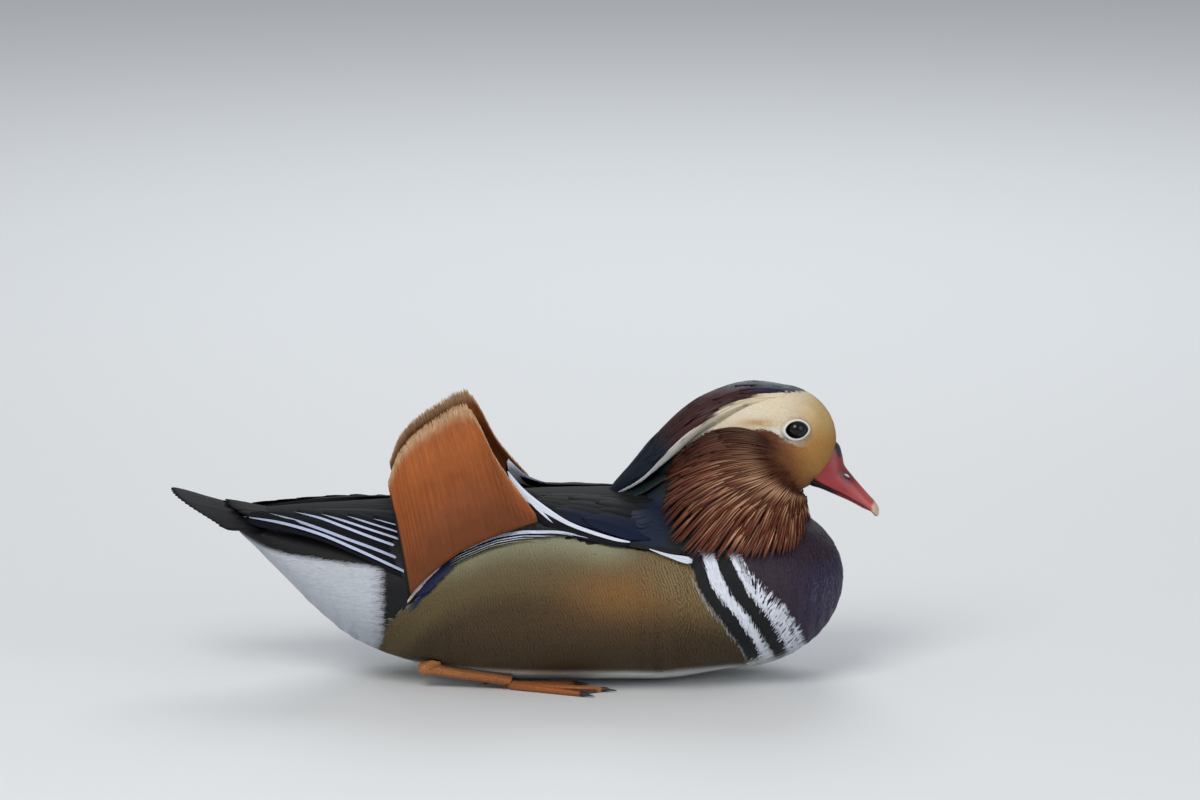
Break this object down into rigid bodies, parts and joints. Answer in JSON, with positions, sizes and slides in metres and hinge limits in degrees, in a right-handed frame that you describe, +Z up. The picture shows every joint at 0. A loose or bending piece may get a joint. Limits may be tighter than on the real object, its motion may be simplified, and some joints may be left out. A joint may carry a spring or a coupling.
{
  "type": "mandarin duck",
  "caption": "A male mandarin duck at rest on its belly, life size, with orange sails, ruff, crest, folded wings and tucked feet.",
  "frame": {"origin": "bottom centre of the model's bounding box, midway between tail tip and bill tip and between the two flanks, on the floor it rests on", "axes": "+X forwards to the bill, +Y to the bird's left, +Z up"},
  "size_m": [0.3261, 0.117, 0.1404],
  "materials": {
    "flank_plumage": "soft feathers, golden brown on the flank, purple black on the breast, grey white under the tail",
    "neck_plumage": "dark green black feathers",
    "face_plumage": "fine velvety feathers, cream to golden orange",
    "crest_plumage": "glossy feathers, purple, chestnut and green black",
    "ruff_plumage": "long pointed rust feathers with buff shafts",
    "scapular_plumage": "glossy blue black feathers edged white",
    "sail_plumage": "soft orange vane with a pale fringe",
    "dark_plumage": "dark flight feathers with silvery edges",
    "red_bill": "smooth horn, semi gloss",
    "dark_eye": "wet gloss",
    "foot_skin": "scaly skin"
  },
  "bodies": {
    "root": {"torso": "flank_plumage", "neck": "neck_plumage", "head": "face_plumage", "bill_upper": "red_bill", "bill_lower": "red_bill", "crest": "crest_plumage", "tail": "dark_plumage", "eye_left": "dark_eye", "ruff_left": "ruff_plumage", "scapulars_left": "scapular_plumage", "wing_left": "dark_plumage", "sail_left": "sail_plumage", "leg_left": "foot_skin", "foot_left": "foot_skin", "eye_right": "dark_eye", "ruff_right": "ruff_plumage", "scapulars_right": "scapular_plumage", "wing_right": "dark_plumage", "sail_right": "sail_plumage", "leg_right": "foot_skin", "foot_right": "foot_skin"}
  },
  "joints": []
}
